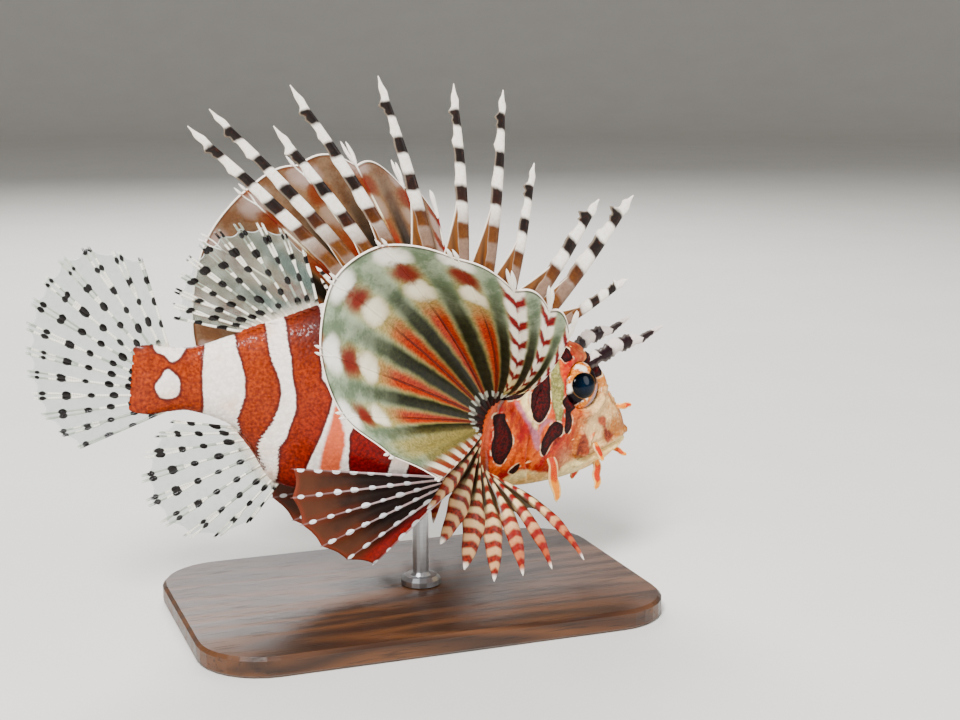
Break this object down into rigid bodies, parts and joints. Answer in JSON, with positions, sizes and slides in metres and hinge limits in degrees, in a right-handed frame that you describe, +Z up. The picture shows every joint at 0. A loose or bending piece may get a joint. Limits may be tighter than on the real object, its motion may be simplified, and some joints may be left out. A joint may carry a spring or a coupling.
{
  "type": "zebra lionfish",
  "caption": "Zebra lionfish at life size, fins fully spread, as a still model held over a flat base by one short rod.",
  "frame": {"origin": "centre of the stand base's underside", "axes": "+X towards the head, along the length; +Y to the fish's left; +Z up"},
  "size_m": [0.1602, 0.0976, 0.1311],
  "materials": {
    "head": "satin painted skin, orange tan with dark red bars",
    "body": "fine scales, red brown and white bars",
    "back_spines": "spines banded dark brown and white, brown webs",
    "clear_fin": "clear webs, pale rays with black dots",
    "breast_fin": "sage green webs with dark and red streaks",
    "belly_fin": "dark brown webs with white dotted rays",
    "tentacle": "banded black and grey",
    "eye": "polished",
    "base_wood": "satin lacquer",
    "rod_steel": "brushed"
  },
  "bodies": {
    "root": {"head": "head", "lower_jaw": "head", "gill_cover_right": "head", "gill_cover_left": "head", "torso": "body", "tail_stalk": "body", "dorsal_fin_spines": "back_spines", "soft_dorsal_fin": "clear_fin", "anal_fin": "clear_fin", "caudal_fin": "clear_fin", "pectoral_fan_right": "breast_fin", "pectoral_fan_left": "breast_fin", "pectoral_lower_right": "breast_fin", "pectoral_lower_left": "breast_fin", "pelvic_fin_right": "belly_fin", "pelvic_fin_left": "belly_fin", "tentacle_right": "tentacle", "tentacle_left": "tentacle", "eye_right": "eye", "eye_left": "eye", "stand_base": "base_wood", "stand_rod": "rod_steel"}
  },
  "joints": []
}
